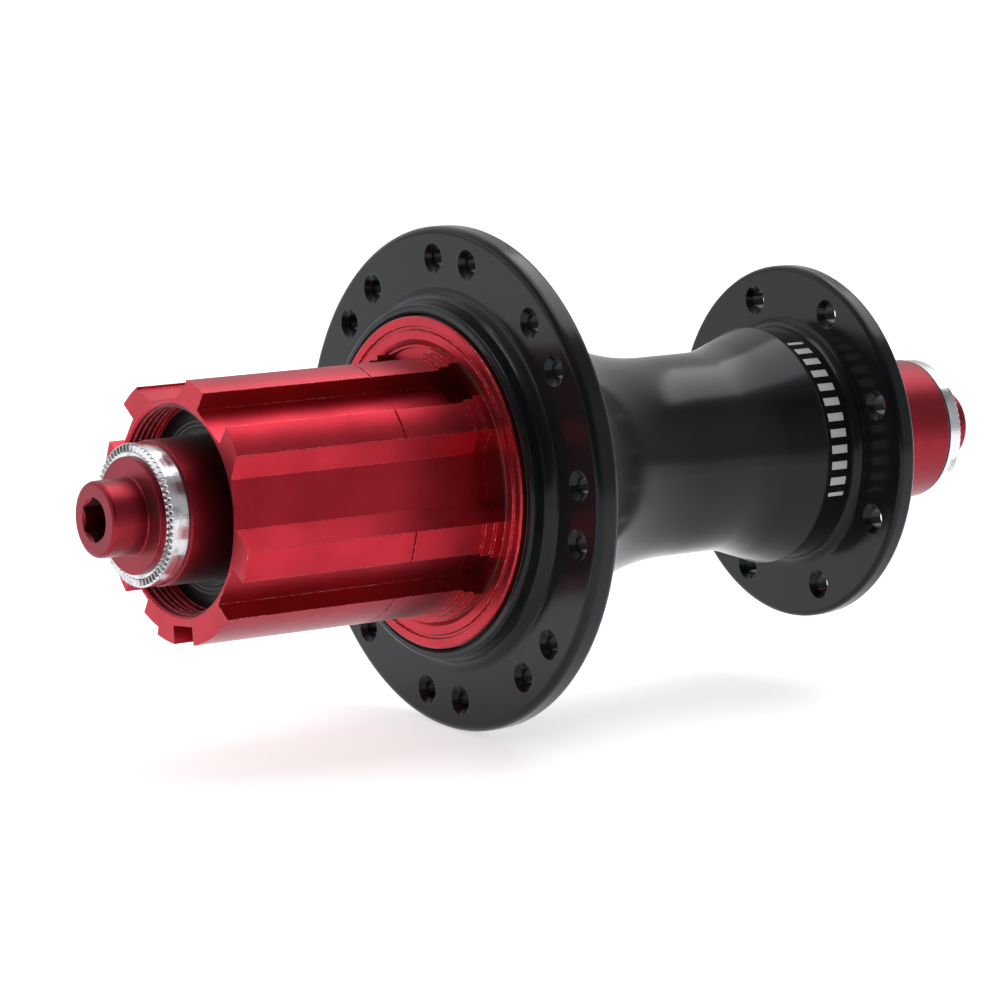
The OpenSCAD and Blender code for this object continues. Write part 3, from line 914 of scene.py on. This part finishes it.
def finish_everything():
    """Gives every CAD node its material and adds the repeated pieces."""
    red = anodised("red_anodised", colour=(0.47, 0.019, 0.035, 1.0), deep_colour=(0.36, 0.011, 0.023, 1.0),
                   roughness=0.33, metallic=1.0, wear=0.5, gloss=0.5, coat=0.12, grain_depth=0.38)
    crimson = anodised("crimson_anodised", colour=(0.27, 0.010, 0.022, 1.0),
                       deep_colour=(0.20, 0.006, 0.014, 1.0), roughness=0.40, metallic=1.0, wear=0.15,
                       gloss=0.5, coat=0.2, grain_depth=0.14)
    black = anodised("black_anodised", colour=(0.0046, 0.0054, 0.0066, 1.0),
                     deep_colour=(0.0028, 0.0032, 0.0040, 1.0), roughness=0.18, metallic=0.0, wear=0.06,
                     gloss=0.20, coat=0.0, grain_depth=0.10)
    add_neck_bars(black)
    bright = bare_metal("bright_steel", bright=(0.64, 0.64, 0.67, 1.0), dull=(0.26, 0.25, 0.26, 1.0),
                        roughness=0.18, line_scale=2200.0, smudge=0.7)
    ground = bare_metal("ground_steel", bright=(0.62, 0.62, 0.64, 1.0), dull=(0.35, 0.34, 0.33, 1.0),
                        roughness=0.26, line_scale=3000.0, smudge=0.5)
    polished = bare_metal("polished_bearing_steel", bright=(0.80, 0.80, 0.82, 1.0),
                          dull=(0.55, 0.54, 0.50, 1.0), roughness=0.08, line_scale=5000.0, smudge=0.3)
    hard = bare_metal("hardened_steel", bright=(0.40, 0.39, 0.38, 1.0), dull=(0.22, 0.20, 0.18, 1.0),
                      roughness=0.34, line_scale=1500.0, smudge=0.8)
    # painted shade: a near-black steel copy for the races of the outboard freehub bearing, standing in for
    # the shade deep in the body's mouth
    shade_dark_steel = bare_metal("painted_shade_race_steel", bright=(0.030, 0.032, 0.034, 1.0),
                       dull=(0.015, 0.015, 0.016, 1.0), roughness=0.35, line_scale=1800.0, smudge=0.5)
    turned = bare_metal("turned_aluminium", bright=(0.78, 0.78, 0.79, 1.0), dull=(0.60, 0.60, 0.60, 1.0),
                        roughness=0.30, line_scale=1200.0, smudge=0.4)
    rubber = moulded("black_rubber", colour=(0.012, 0.012, 0.013, 1.0),
                     pale_colour=(0.035, 0.034, 0.033, 1.0), roughness=0.45,
                     ring_pitch=0.55 * MM, ring_depth=0.03 * MM)
    nylon = moulded("cage_nylon", colour=(0.62, 0.52, 0.32, 1.0), pale_colour=(0.70, 0.62, 0.45, 1.0),
                    roughness=0.5, ring_pitch=0.9 * MM, ring_depth=0.01 * MM)
    bearings = ["freehub_outer_bearing", "freehub_inner_bearing", "shell_drive_bearing",
                "shell_nds_bearing"]
    paint_nodes(red, ["freehub_body"])
    paint_nodes(crimson, ["drive_end_cap", "nds_end_cap"])
    paint_nodes(black, ["hub_shell"])
    paint_nodes(hard, ["ratchet_ring", "pawl_1", "pawl_2", "pawl_3"])
    # the outboard freehub bearing's races take the near-black painted-shade steel; the other bearings keep
    # ground steel
    paint_nodes(shade_dark_steel, [bearings[0] + "_outer_race", bearings[0] + "_inner_race"])
    paint_nodes(ground, ["pawl_spring"] + [b + "_outer_race" for b in bearings[1:]]
                + [b + "_inner_race" for b in bearings[1:]])
    paint_nodes(polished, [b + "_balls" for b in bearings])
    paint_nodes(nylon, [b + "_cage" for b in bearings])
    paint_nodes(rubber, ["shell_seal", "drive_grip_washer", "nds_grip_washer"]
                + [b + "_seals" for b in bearings])
    paint_nodes(turned, ["axle", "freehub_spacer", "shell_spacer"])

    teeth_tree, teeth_socket = ring_of_teeth_tree(bright)
    make_grip_ring("drive_grip_ring_toothed", "drive_grip_ring", teeth_tree, teeth_socket,
                   teeth=66, valley=0.42 * MM)
    make_grip_ring("nds_grip_ring_toothed", "nds_grip_ring", teeth_tree, teeth_socket,
                   teeth=66, valley=0.22 * MM)
    make_lockring_thread(crimson)


bpy.context.scene.view_settings.view_transform = "Standard"
make_camera()
make_floor()
make_studio()
finish_everything()
